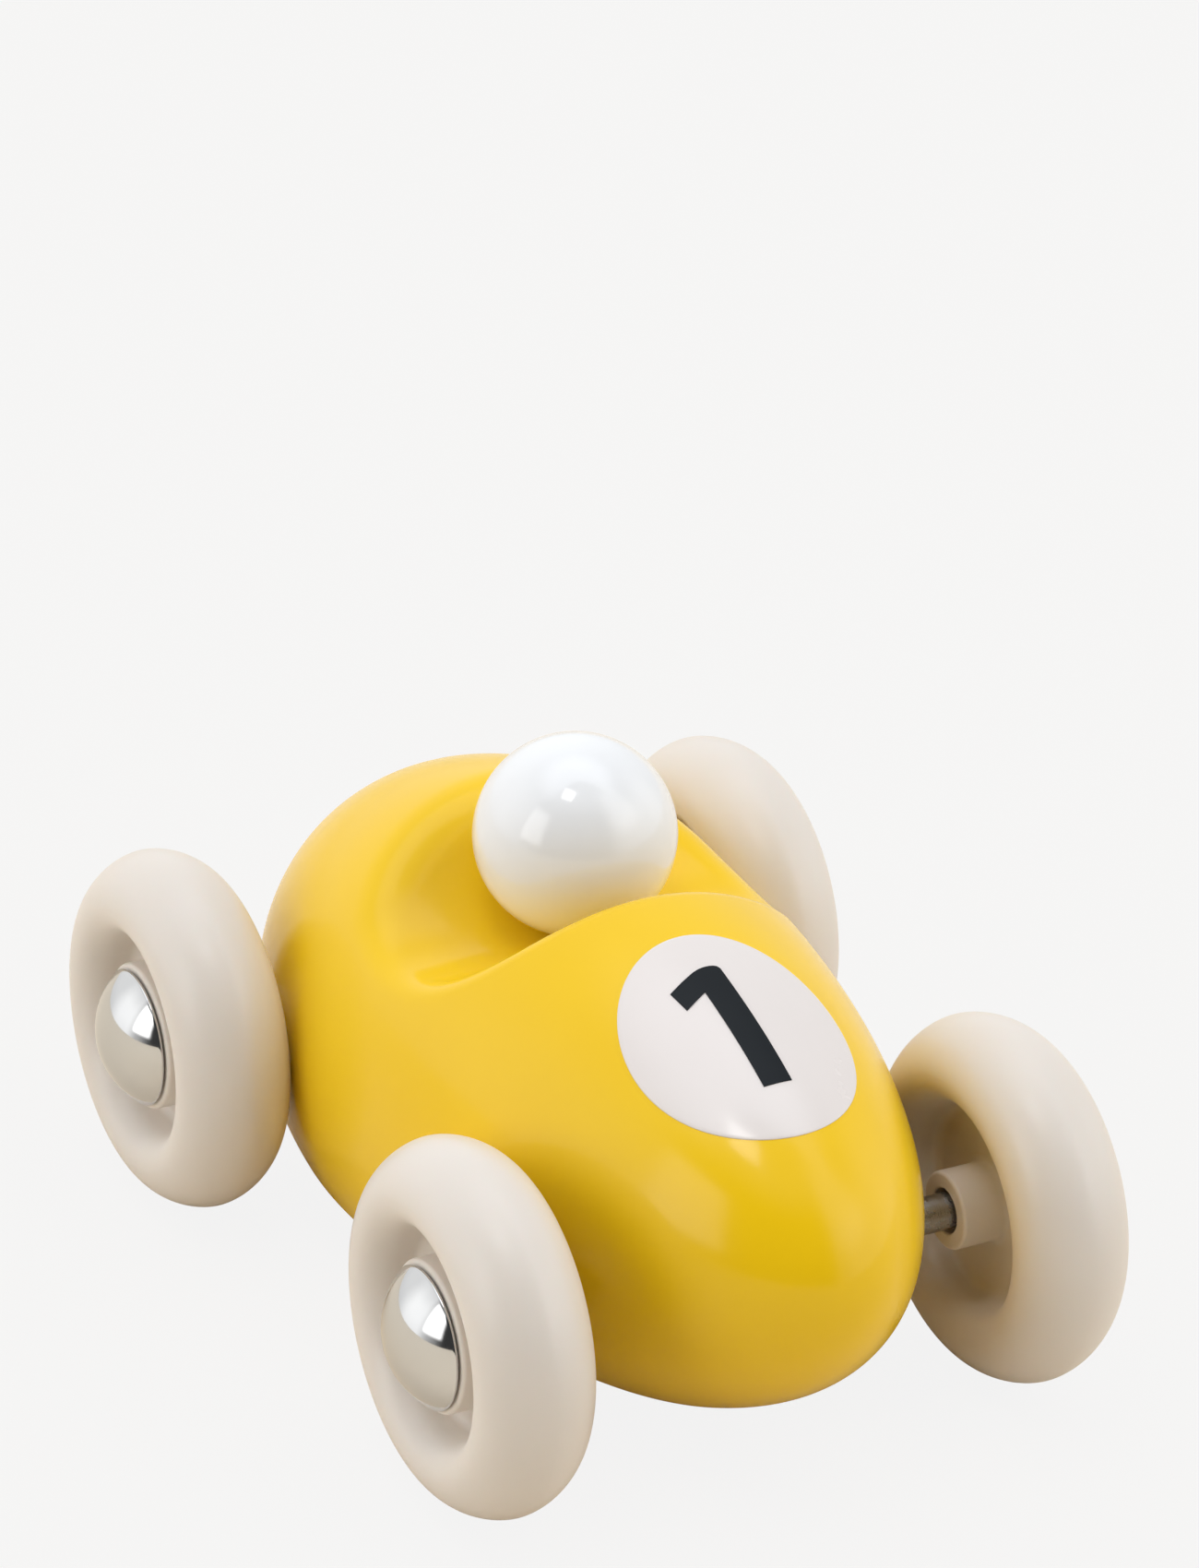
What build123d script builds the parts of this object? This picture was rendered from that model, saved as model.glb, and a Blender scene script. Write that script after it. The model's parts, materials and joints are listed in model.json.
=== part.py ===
from build123d import *
import os
from math import acos, atan2, cos, degrees, hypot, pi, radians, sin, sqrt, tan

os.makedirs("parts", exist_ok=True)

# A wooden racing car with a pull-back motor, in millimetres.
# The nose points to -Y, the wheels stand on Z = 0, and the origin is under the middle of the car.

# Running gear
wheel_radius = 25.0
wheelbase = 84.0
axle_middle_y = 0.3
front_half_track = 39.2
rear_half_track = 42.6
axle_radius = 2.5
axle_chamfer = 0.4
running_clearance = 0.05

front_y = axle_middle_y - wheelbase / 2
rear_y = axle_middle_y + wheelbase / 2
axle_z = wheel_radius

# Body: an egg turned about an axis that rises to the nose, squeezed sideways and planed flat below
nose_length = 87.3
tail_length = 53.7
half_height = 37.2
squeeze = 0.927
nose_rise_deg = 5.4
egg_y = 16.7
egg_z = 26.7
underside_z = 7.0
underside_round = 0.8

# Cockpit: a round channel across the body, with the driver's head resting in it
cockpit_radius = 18.6
cockpit_y = 6.9
cockpit_z = 67.7
cockpit_round = 1.0
head_radius = 13.75
head_lean_deg = 20.0
head_sink = 0.1
dowel_radius = 3.0
dowel_length = 20.0
dowel_below_centre = 2.0

# Number on the hood: thin layers that follow the body
hood_slope_deg = 16.0
hood_y = -40.5
hood_z = 54.6
print_reach = 11.0
print_thickness = 0.15
roundel_middle = (-0.5, 2.1)
roundel_half_width = 14.9
roundel_half_length = 18.2
stem_left = -2.4
stem_right = 1.6
stem_low = -8.2
stem_high = 12.6
flag_tip = (-6.5, 10.6)
flag_heel = (-5.9, 7.0)
flag_inside = (stem_left, 9.0)
crown_points = ((1.1, 13.2), (-0.4, 13.4), (-2.2, 12.9))

# Wheel section, measured outwards from the wheel's middle plane and from its axle
tyre_half_width = 8.1
widest_radius = 18.3
hole_radius = 13.4
crown_power = 1.81
lip_power = 2.25
outer_floor = 1.0
inner_floor = -1.5
lip_start = 0.4
inner_boss_radius = 5.35
inner_boss_end = -8.4
outer_boss_radius = 10.2
outer_boss_end = 6.0
boss_round = 0.6
bore_mouth_radius = 3.1
bore_mouth_depth = 2.5

# Domed axle caps and the spring push nuts inside them
cap_radius = 9.55
cap_height = 4.8
cap_wall = 0.6
cap_gap = 0.5
nut_in_cap = 0.1
nut_radius = 8.3
nut_thickness = 0.4
nut_slots = 6
nut_slot_middle = 3.5
nut_slot_length = 2.4
nut_slot_width = 0.6
axle_in_cap = 3.2

# Motor: gears of one small module in a two-part case, split by a steel plate
module = 0.5
pressure_deg = 20.0
backlash = 0.08
axle_teeth = 16
large_teeth = 28
small_teeth = 12
spring_teeth = 40
wind_teeth = 20
spring_offset_y = -12.0
spring_offset_z = 6.5
wind_stand_off = 0.9
wind_travel = 1.0
case_half_width = 8.5
case_middle_y = 34.9
case_middle_z = 27.1
case_length = 33.4
case_height = 36.0
case_corner = 3.0
case_wall = 1.2
plate_low_x = -1.3
plate_thickness = 0.8
wheel_plane = (-7.0, -4.4)
pinion_plane = (-4.2, -1.6)
pin_radius = 1.0
arbor_radius = 3.0
journal_radius = 1.5
spring_chamber_radius = 10.8
spring_turns = 6
spring_strip = 0.4
spring_inner_radius = 3.6
spring_outer_radius = 10.0
case_screw_places = ((21.0, 12.6), (48.9, 12.6), (20.6, 42.6))
case_boss_radius = 1.9
case_screw_radius = 0.9
pin_end_wall = 0.1
plate_axle_gap = 0.5
side_gap = 0.3

# Motor pocket, cover and screws under the body
pocket_clearance = 0.4
pocket_corner = 1.0
cover_thickness = 2.0
cover_half_width = 12.5
cover_low_y = 12.2
cover_high_y = 57.4
cover_corner = 5.0
cover_round = 0.4
cover_clearance = 0.15
cover_screw_x = 8.5
cover_screw_in = 2.8
screw_radius = 1.0
screw_head_radius = 2.0
screw_head_depth = 1.0
screw_point = 1.0
screw_length = 10.0
screw_slot = (2.2, 0.5, 1.2)
axle_hole_radius = 3.5

cap_rim = outer_boss_end + cap_gap
plate_high_x = plate_low_x + plate_thickness
cover_top_z = underside_z + cover_thickness


def save(name, part):
    """Label one finished piece and write it to its own file."""
    part.label = name
    export_step(part, f"parts/{name}.step")


# ---------------------------------------------------------------- body

egg_axis_direction = (0, cos(radians(nose_rise_deg)), -sin(radians(nose_rise_deg)))
egg_plane = Plane(origin=(0, egg_y, egg_z), x_dir=egg_axis_direction, z_dir=(1, 0, 0))


def egg_solid(growth=0.0):
    """The whole egg before any cut, grown outwards all round by the given amount."""
    with BuildPart() as egg:
        with BuildSketch(egg_plane):
            with BuildLine():
                tail = EllipticalCenterArc(
                    (0, 0), tail_length + growth, half_height + growth, 0, arc_size=90
                )
                nose = EllipticalCenterArc(
                    (0, 0), nose_length + growth, half_height + growth, 90, arc_size=90
                )
                Line(nose @ 1, tail @ 0)
            make_face()
        revolve(axis=Axis((0, egg_y, egg_z), egg_axis_direction))
        scale(by=(squeeze, 1, 1))
    return egg.part


head_direction = Vector(0, sin(radians(head_lean_deg)), -cos(radians(head_lean_deg)))
head_reach = cockpit_radius - head_radius + head_sink
head_centre = Vector(0, cockpit_y, cockpit_z) + head_direction * head_reach
dowel_top_z = head_centre.Z - dowel_below_centre

pocket_low_y = case_middle_y - case_length / 2 - pocket_clearance
pocket_high_y = case_middle_y + case_length / 2 + pocket_clearance
pocket_top_z = case_middle_z + case_height / 2 + pocket_clearance
pocket_half_width = case_half_width + pocket_clearance
cover_middle_y = (cover_low_y + cover_high_y) / 2
cover_length = cover_high_y - cover_low_y
cover_screw_places = [
    (side * cover_screw_x, y)
    for side in (-1, 1)
    for y in (cover_low_y + cover_screw_in, cover_high_y - cover_screw_in)
]

with BuildPart() as wooden_body:
    add(egg_solid())
    split(bisect_by=Plane.XY.offset(underside_z), keep=Keep.TOP)
    with BuildSketch(Plane.YZ):
        with Locations((cockpit_y, cockpit_z)):
            Circle(cockpit_radius)
    extrude(amount=2 * half_height, both=True, mode=Mode.SUBTRACT)
    cockpit_wall = wooden_body.faces().filter_by(GeomType.CYLINDER)
    fillet(cockpit_wall.edges(), cockpit_round)
    flat_underside = wooden_body.faces().sort_by(Axis.Z)[0]
    fillet(flat_underside.edges(), underside_round)
    # the driver's head sits a little way into the channel, on a dowel
    with Locations(head_centre):
        Sphere(head_radius, mode=Mode.SUBTRACT)
    with BuildSketch(Plane.XY.offset(dowel_top_z)):
        with Locations((0, head_centre.Y)):
            Circle(dowel_radius)
    extrude(amount=-dowel_length, mode=Mode.SUBTRACT)
    # the front axle's bore, and the rear axle's two side holes into the motor pocket
    with BuildSketch(Plane.YZ):
        with Locations((front_y, axle_z)):
            Circle(axle_radius + running_clearance)
        with Locations((rear_y, axle_z)):
            Circle(axle_hole_radius)
    extrude(amount=half_height, both=True, mode=Mode.SUBTRACT)
    with BuildSketch(Plane.XY.offset(underside_z)):
        with Locations((0, (pocket_low_y + pocket_high_y) / 2)):
            RectangleRounded(2 * pocket_half_width, pocket_high_y - pocket_low_y, pocket_corner)
    extrude(amount=pocket_top_z - underside_z, mode=Mode.SUBTRACT)
    with BuildSketch(Plane.XY.offset(underside_z)):
        with Locations((0, cover_middle_y)):
            RectangleRounded(
                2 * (cover_half_width + cover_clearance),
                cover_length + 2 * cover_clearance,
                cover_corner,
            )
    extrude(amount=cover_thickness, mode=Mode.SUBTRACT)
    with BuildSketch(Plane.XY.offset(cover_top_z)):
        with Locations(*cover_screw_places):
            Circle(screw_radius)
    extrude(amount=screw_length - cover_thickness, mode=Mode.SUBTRACT)
save("wooden_body", wooden_body.part)

with BuildPart() as driver_head:
    with Locations(head_centre):
        Sphere(head_radius)
    with BuildSketch(Plane.XY.offset(dowel_top_z)):
        with Locations((0, head_centre.Y)):
            Circle(dowel_radius)
    extrude(amount=-head_radius, mode=Mode.SUBTRACT)
save("driver_head", driver_head.part)

with BuildPart() as head_dowel:
    with BuildSketch(Plane.XY.offset(dowel_top_z)):
        with Locations((0, head_centre.Y)):
            Circle(dowel_radius)
    extrude(amount=-dowel_length)
save("head_dowel", head_dowel.part)

# ---------------------------------------------------------------- number on the hood

hood_normal = (0, -sin(radians(hood_slope_deg)), cos(radians(hood_slope_deg)))
hood_plane = Plane(origin=(0, hood_y, hood_z), x_dir=(1, 0, 0), z_dir=hood_normal)


def hood_layer(outline, inner, outer):
    """A layer between two growths of the egg, as wide as the outline drawn above the hood."""
    core = egg_solid(inner)
    with BuildPart() as layer:
        add(egg_solid(outer))
        extrude(outline, amount=print_reach, both=True, mode=Mode.INTERSECT)
        add(core, mode=Mode.SUBTRACT)
    return layer.part


with BuildSketch(hood_plane) as roundel_outline:
    with Locations(roundel_middle):
        Ellipse(roundel_half_width, roundel_half_length)
save("number_roundel", hood_layer(roundel_outline.sketch, 0.0, print_thickness))

with BuildSketch(hood_plane) as digit_outline:
    with BuildLine():
        Polyline(flag_tip, flag_heel, flag_inside, (stem_left, stem_low), (stem_right, stem_low))
        Line((stem_right, stem_low), (stem_right, stem_high))
        Spline((stem_right, stem_high), *crown_points)
        Line(crown_points[-1], flag_tip)
    make_face()
save("number_digit", hood_layer(digit_outline.sketch, print_thickness, 2 * print_thickness))

# ---------------------------------------------------------------- wheels, caps and axles


def hub_plane(side, half_track, y):
    """A plane through a wheel's axle, with x pointing outboard and y up from the axle."""
    return Plane(origin=(side * half_track, y, axle_z), x_dir=(side, 0, 0), z_dir=(0, -side, 0))


def rounded_quarter(power, steps=8):
    """Points of one quarter of |a|^p + |b|^p = 1, as (a, b) from (1, 0) to (0, 1)."""
    turns = [pi / 2 * (1 - k / steps) for k in range(steps)] + [0.0]
    return [(sin(t) ** (2 / power), max(0.0, cos(t)) ** (2 / power)) for t in turns]


def is_hub_corner(plane):
    """Picks the corners at the bosses' outer edges and feet."""

    def test(edge):
        at_boss = any(
            abs(edge.radius - radius) < 0.01 for radius in (outer_boss_radius, inner_boss_radius)
        )
        return at_boss and abs(plane.to_local_coords(edge.arc_center).X) < 2 * tyre_half_width

    return test


def wheel(side, half_track, y):
    """A one-piece wheel: a round tyre, a web, a wide outer boss and a narrow inner boss."""
    tyre_depth = wheel_radius - widest_radius
    lip_depth = widest_radius - hole_radius
    crown = [
        (tyre_half_width * a, widest_radius + tyre_depth * b)
        for a, b in rounded_quarter(crown_power)
    ]
    lip = [
        (tyre_half_width * a, widest_radius - lip_depth * b)
        for a, b in rounded_quarter(lip_power)
    ]
    inner_lip = [p for p in lip if p[0] > -inner_floor + lip_start]
    outer_lip = [p for p in lip if p[0] > outer_floor + lip_start]
    plane = hub_plane(side, half_track, y)
    mouth = inner_boss_end + bore_mouth_depth
    with BuildPart() as part:
        with BuildSketch(plane):
            with BuildLine():
                Spline(*crown[::-1], tangents=[(1, 0), (0, -1)])
                Spline(*[(-a, b) for a, b in crown[::-1]], tangents=[(-1, 0), (0, -1)])
                outside = Spline(*outer_lip, (outer_floor, hole_radius), tangents=[(0, -1), (-1, 0)])
                inside = Spline(
                    *[(-a, b) for a, b in inner_lip],
                    (inner_floor, hole_radius),
                    tangents=[(0, -1), (1, 0)],
                )
                Polyline(
                    outside @ 1,
                    (outer_floor, outer_boss_radius),
                    (outer_boss_end, outer_boss_radius),
                    (outer_boss_end, axle_radius),
                    (mouth, axle_radius),
                    (mouth, bore_mouth_radius),
                    (inner_boss_end, bore_mouth_radius),
                    (inner_boss_end, inner_boss_radius),
                    (inner_floor, inner_boss_radius),
                    inside @ 1,
                )
            make_face()
        revolve(axis=Axis(plane.origin, plane.x_dir))
        fillet(part.edges().filter_by(GeomType.CIRCLE).filter_by(is_hub_corner(plane)), boss_round)
    return part.part


def axle_cap(side, half_track, y):
    """A thin domed cap with an open rim."""
    dome_radius = (cap_radius**2 + cap_height**2) / (2 * cap_height)
    centre = cap_rim + cap_height - dome_radius
    inner_radius = dome_radius - cap_wall
    inner_rim = sqrt(inner_radius**2 - (cap_rim - centre) ** 2)
    plane = hub_plane(side, half_track, y)
    with BuildPart() as part:
        with BuildSketch(plane):
            with BuildLine():
                outer = ThreePointArc(
                    (cap_rim, cap_radius),
                    (centre + dome_radius * cos(pi / 8), dome_radius * sin(pi / 8)),
                    (centre + dome_radius, 0),
                )
                inner = ThreePointArc(
                    (cap_rim, inner_rim),
                    (centre + inner_radius * cos(pi / 8), inner_radius * sin(pi / 8)),
                    (centre + inner_radius, 0),
                )
                Line(outer @ 0, inner @ 0)
                Line(outer @ 1, inner @ 1)
            make_face()
        revolve(axis=Axis(plane.origin, plane.x_dir))
    return part.part


def push_nut(side, half_track, y):
    """A flat spring washer that grips the axle, with a slotted middle."""
    start = side * (half_track + cap_rim + nut_in_cap)
    with BuildPart() as part:
        with BuildSketch(Plane((start, y, axle_z), x_dir=(0, 1, 0), z_dir=(side, 0, 0))):
            Circle(nut_radius)
            Circle(axle_radius, mode=Mode.SUBTRACT)
            with PolarLocations(nut_slot_middle, nut_slots):
                Rectangle(nut_slot_length, nut_slot_width, mode=Mode.SUBTRACT)
        extrude(amount=nut_thickness)
    return part.part


def axle(y, half_length):
    """A plain round axle with small chamfers."""
    with BuildPart() as part:
        with BuildSketch(Plane.YZ):
            with Locations((y, axle_z)):
                Circle(axle_radius)
        extrude(amount=half_length, both=True)
        chamfer(part.edges().filter_by(GeomType.CIRCLE), axle_chamfer)
    return part.part


for end, y, half_track in (("front", front_y, front_half_track), ("rear", rear_y, rear_half_track)):
    save(f"{end}_axle", axle(y, half_track + cap_rim + axle_in_cap))
    for hand, side in (("right", -1), ("left", 1)):
        save(f"{end}_{hand}_wheel", wheel(side, half_track, y))
        save(f"{end}_{hand}_hubcap", axle_cap(side, half_track, y))
        save(f"{end}_{hand}_push_nut", push_nut(side, half_track, y))

# ---------------------------------------------------------------- motor gears

axle_centre = (rear_y, axle_z)
spring_centre = (rear_y + spring_offset_y, axle_z + spring_offset_z)


def meeting_point(first, first_reach, second, second_reach, turn):
    """The point at the given distances from two points, on the side chosen by turn."""
    dy, dz = second[0] - first[0], second[1] - first[1]
    gap = hypot(dy, dz)
    along = (first_reach**2 - second_reach**2 + gap**2) / (2 * gap)
    across = turn * sqrt(first_reach**2 - along**2)
    return (
        first[0] + (along * dy - across * dz) / gap,
        first[1] + (along * dz + across * dy) / gap,
    )


def centre_distance(teeth, other_teeth):
    return module * (teeth + other_teeth) / 2


def mesh_turn(teeth, turn, centre, other_teeth, other_centre):
    """How far round, in degrees, the other gear stands to be in mesh with the first."""
    bearing = degrees(atan2(other_centre[1] - centre[1], other_centre[0] - centre[0]))
    share = (bearing - turn) * teeth / 360
    return bearing + 180 - (0.5 - share) * 360 / other_teeth


compound_centre = meeting_point(
    axle_centre,
    centre_distance(axle_teeth, large_teeth),
    spring_centre,
    centre_distance(small_teeth, spring_teeth),
    -1,
)
# where the wind gear's teeth come nearest to the other two gears, just short of meshing
wind_nearest = meeting_point(
    axle_centre,
    centre_distance(axle_teeth, wind_teeth) + wind_stand_off,
    spring_centre,
    centre_distance(wind_teeth, spring_teeth) + wind_stand_off,
    1,
)
# from there it drops straight away from the line between the axle and the spring gear
drop = hypot(spring_offset_y, spring_offset_z)
drop_direction = (spring_offset_z / drop * -1, spring_offset_y / drop)
wind_centre = (
    wind_nearest[0] + wind_travel * drop_direction[0],
    wind_nearest[1] + wind_travel * drop_direction[1],
)

axle_gear_turn = 0.0
wind_gear_turn = 0.0
spring_gear_turn = 0.0
large_gear_turn = mesh_turn(axle_teeth, axle_gear_turn, axle_centre, large_teeth, compound_centre)
small_gear_turn = mesh_turn(
    spring_teeth, spring_gear_turn, spring_centre, small_teeth, compound_centre
)


def involute(angle):
    return tan(angle) - angle


def gear_points(teeth, turn, centre):
    """The outline of a spur gear with stub involute teeth."""
    pitch_radius = module * teeth / 2
    base_radius = pitch_radius * cos(radians(pressure_deg))
    tip_radius = pitch_radius + 0.8 * module
    root_radius = pitch_radius - 1.05 * module
    half_tooth = (pi * module / 2 - backlash) / (2 * pitch_radius)
    foot = max(base_radius, root_radius)
    radii = [foot + (tip_radius - foot) * k / 3 for k in range(4)]
    flank = [
        (r, half_tooth + involute(radians(pressure_deg)) - involute(acos(min(1, base_radius / r))))
        for r in radii
    ]
    flank = [(root_radius, flank[0][1])] + flank if root_radius < base_radius else flank
    points = []
    for tooth in range(teeth):
        middle = radians(turn) + 2 * pi * tooth / teeth
        for r, half in flank:
            points.append((centre[0] + r * cos(middle - half), centre[1] + r * sin(middle - half)))
        for r, half in flank[::-1]:
            points.append((centre[0] + r * cos(middle + half), centre[1] + r * sin(middle + half)))
    return points


def round_bar(centre, radius, low, high, mode=Mode.ADD):
    """A bar or a hole along X between two x values, in the current part."""
    with BuildSketch(Plane.YZ.offset(low)) as disc:
        with Locations(centre):
            Circle(radius)
    extrude(disc.sketch, amount=high - low, mode=mode)


def toothed_wheel(teeth, turn, centre, low, high):
    """A spur gear between two x values, in the current part."""
    with BuildSketch(Plane.YZ.offset(low)) as face:
        with BuildLine():
            Polyline(*gear_points(teeth, turn, centre), close=True)
        make_face()
    extrude(face.sketch, amount=high - low)


with BuildPart() as axle_pinion:
    toothed_wheel(axle_teeth, axle_gear_turn, axle_centre, *wheel_plane)
    round_bar(axle_centre, axle_radius, *wheel_plane, mode=Mode.SUBTRACT)
save("axle_pinion", axle_pinion.part)

with BuildPart() as compound_gear:
    toothed_wheel(large_teeth, large_gear_turn, compound_centre, *wheel_plane)
    toothed_wheel(small_teeth, small_gear_turn, compound_centre, wheel_plane[1], pinion_plane[1])
    round_bar(
        compound_centre,
        pin_radius + running_clearance,
        wheel_plane[0],
        pinion_plane[1],
        mode=Mode.SUBTRACT,
    )
save("compound_gear", compound_gear.part)

with BuildPart() as compound_gear_pin:
    round_bar(compound_centre, pin_radius, pin_end_wall - case_half_width, plate_high_x)
save("compound_gear_pin", compound_gear_pin.part)

with BuildPart() as spring_gear:
    toothed_wheel(spring_teeth, spring_gear_turn, spring_centre, *pinion_plane)
    round_bar(spring_centre, arbor_radius, wheel_plane[0], case_half_width - case_wall - side_gap)
    round_bar(spring_centre, journal_radius, -case_half_width, case_half_width)
save("spring_gear", spring_gear.part)

with BuildPart() as wind_gear:
    toothed_wheel(wind_teeth, wind_gear_turn, wind_centre, wheel_plane[0], pinion_plane[1])
    round_bar(
        wind_centre,
        pin_radius + running_clearance,
        wheel_plane[0],
        pinion_plane[1],
        mode=Mode.SUBTRACT,
    )
save("wind_gear", wind_gear.part)

with BuildPart() as wind_gear_pin:
    round_bar(wind_centre, pin_radius, -case_half_width, plate_high_x)
save("wind_gear_pin", wind_gear_pin.part)

spring_pitch = (spring_outer_radius - spring_inner_radius) / spring_turns


def spiral_points(shift, steps=16):
    """A flat spiral about the spring gear's centre, shifted outwards."""
    points = []
    for k in range(spring_turns * steps + 1):
        r = spring_inner_radius + shift + spring_pitch * k / steps
        turn = 2 * pi * k / steps
        points.append((spring_centre[0] + r * cos(turn), spring_centre[1] + r * sin(turn)))
    return points


with BuildPart() as mainspring:
    with BuildSketch(Plane.YZ.offset(plate_high_x + side_gap)):
        with BuildLine():
            inner_edge = Spline(*spiral_points(0))
            outer_edge = Spline(*spiral_points(spring_strip))
            Line(inner_edge @ 0, outer_edge @ 0)
            Line(inner_edge @ 1, outer_edge @ 1)
        make_face()
    extrude(amount=case_half_width - case_wall - plate_high_x - 2 * side_gap)
save("mainspring", mainspring.part)

# ---------------------------------------------------------------- motor case


def case_outline():
    with Locations((case_middle_y, case_middle_z)):
        RectangleRounded(case_length, case_height, case_corner)


def wind_slot(clearance):
    """The slot along which the wind gear's pin shifts, in the current sketch."""
    middle = (
        (wind_centre[0] + wind_nearest[0]) / 2,
        (wind_centre[1] + wind_nearest[1]) / 2,
    )
    slope = degrees(atan2(drop_direction[1], drop_direction[0]))
    with Locations(Location((*middle, 0), (0, 0, slope))):
        SlotCenterToCenter(wind_travel + 2 * clearance, 2 * (pin_radius + clearance))


def case_half(low, high, pocket_low, pocket_high, with_chamber):
    """One half of the motor case: an outer wall, screw bosses and its open inside."""
    with BuildPart() as half:
        with BuildSketch(Plane.YZ.offset(low)):
            case_outline()
        extrude(amount=high - low)
        with BuildSketch(Plane.YZ.offset(pocket_low)):
            with Locations((case_middle_y, case_middle_z)):
                RectangleRounded(
                    case_length - 2 * case_wall,
                    case_height - 2 * case_wall,
                    case_corner - case_wall,
                )
            with Locations(*case_screw_places):
                Circle(case_boss_radius, mode=Mode.SUBTRACT)
            if with_chamber:
                with Locations(spring_centre):
                    Circle(spring_chamber_radius + case_wall, mode=Mode.SUBTRACT)
                with Locations(axle_centre):
                    Circle(axle_radius + case_wall, mode=Mode.SUBTRACT)
                with Locations(spring_centre):
                    Circle(spring_chamber_radius)
        extrude(amount=pocket_high - pocket_low, mode=Mode.SUBTRACT)
        round_bar(axle_centre, axle_radius + running_clearance, low, high, mode=Mode.SUBTRACT)
        round_bar(spring_centre, journal_radius + running_clearance, low, high, mode=Mode.SUBTRACT)
        for place in case_screw_places:
            round_bar(place, case_screw_radius, low, high, mode=Mode.SUBTRACT)
        if not with_chamber:
            round_bar(compound_centre, pin_radius, low + pin_end_wall, high, mode=Mode.SUBTRACT)
            with BuildSketch(Plane.YZ.offset(low)):
                wind_slot(running_clearance)
            extrude(amount=case_wall, mode=Mode.SUBTRACT)
    return half.part


save(
    "motor_case_right",
    case_half(-case_half_width, plate_low_x, case_wall - case_half_width, plate_low_x, False),
)
save(
    "motor_case_left",
    case_half(plate_high_x, case_half_width, plate_high_x, case_half_width - case_wall, True),
)

with BuildPart() as motor_plate:
    with BuildSketch(Plane.YZ.offset(plate_low_x)):
        case_outline()
        with Locations(axle_centre):
            Circle(axle_radius + plate_axle_gap, mode=Mode.SUBTRACT)
        with Locations(spring_centre):
            Circle(arbor_radius + side_gap, mode=Mode.SUBTRACT)
        with Locations(compound_centre):
            Circle(pin_radius, mode=Mode.SUBTRACT)
        with Locations(*case_screw_places):
            Circle(case_screw_radius, mode=Mode.SUBTRACT)
    extrude(amount=plate_thickness)
    with BuildSketch(Plane.YZ.offset(plate_low_x)):
        wind_slot(running_clearance)
    extrude(amount=plate_thickness, mode=Mode.SUBTRACT)
save("motor_plate", motor_plate.part)

with BuildPart() as case_screws:
    for place in case_screw_places:
        round_bar(place, case_screw_radius, -case_half_width, case_half_width)
save("case_screws", case_screws.part)

# ---------------------------------------------------------------- cover under the motor

with BuildPart() as motor_cover:
    with BuildSketch(Plane.XY.offset(underside_z)):
        with Locations((0, cover_middle_y)):
            RectangleRounded(2 * cover_half_width, cover_length, cover_corner)
    extrude(amount=cover_thickness)
    fillet(motor_cover.faces().sort_by(Axis.Z)[0].edges(), cover_round)
    with Locations(*[Location((x, y, underside_z), (180, 0, 0)) for x, y in cover_screw_places]):
        CounterSinkHole(screw_radius, screw_head_radius, depth=cover_thickness, counter_sink_angle=90)
save("motor_cover", motor_cover.part)

with BuildPart() as cover_screws:
    for x, y in cover_screw_places:
        with BuildSketch(Plane((x, y, underside_z), x_dir=(1, 0, 0), z_dir=(0, -1, 0))):
            with BuildLine():
                Polyline(
                    (0, 0),
                    (screw_head_radius, 0),
                    (screw_radius, screw_head_depth),
                    (screw_radius, screw_length - screw_point),
                    (0, screw_length),
                    close=True,
                )
            make_face()
        revolve(axis=Axis((x, y, underside_z), (0, 0, 1)))
        with Locations((x, y, underside_z)):
            Box(*screw_slot, mode=Mode.SUBTRACT)
            Box(screw_slot[1], screw_slot[0], screw_slot[2], mode=Mode.SUBTRACT)
save("cover_screws", cover_screws.part)
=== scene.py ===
import json
import math

import bpy
import numpy as np
from mathutils import Matrix, Vector

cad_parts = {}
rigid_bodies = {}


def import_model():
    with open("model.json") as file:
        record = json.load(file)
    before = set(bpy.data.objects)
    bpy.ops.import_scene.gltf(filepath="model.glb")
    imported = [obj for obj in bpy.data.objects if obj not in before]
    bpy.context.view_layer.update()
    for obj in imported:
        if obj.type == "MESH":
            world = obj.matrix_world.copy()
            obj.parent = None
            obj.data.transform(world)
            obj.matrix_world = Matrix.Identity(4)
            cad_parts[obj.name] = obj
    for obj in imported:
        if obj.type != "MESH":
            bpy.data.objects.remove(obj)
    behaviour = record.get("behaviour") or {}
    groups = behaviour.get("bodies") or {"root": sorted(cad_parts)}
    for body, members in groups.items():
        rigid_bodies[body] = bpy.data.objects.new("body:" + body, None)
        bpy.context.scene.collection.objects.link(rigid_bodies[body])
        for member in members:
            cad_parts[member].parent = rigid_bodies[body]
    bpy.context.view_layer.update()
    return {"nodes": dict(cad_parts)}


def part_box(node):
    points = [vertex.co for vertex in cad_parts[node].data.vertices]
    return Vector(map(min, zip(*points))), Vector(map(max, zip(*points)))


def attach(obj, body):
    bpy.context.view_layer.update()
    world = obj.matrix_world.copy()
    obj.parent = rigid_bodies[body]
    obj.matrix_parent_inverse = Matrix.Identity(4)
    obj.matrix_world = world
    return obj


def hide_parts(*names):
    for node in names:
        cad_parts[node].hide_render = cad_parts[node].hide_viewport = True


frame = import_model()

mm = 0.001
print("frame loaded:", len(frame["nodes"]), "nodes")


# surfaces from grids of points

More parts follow.
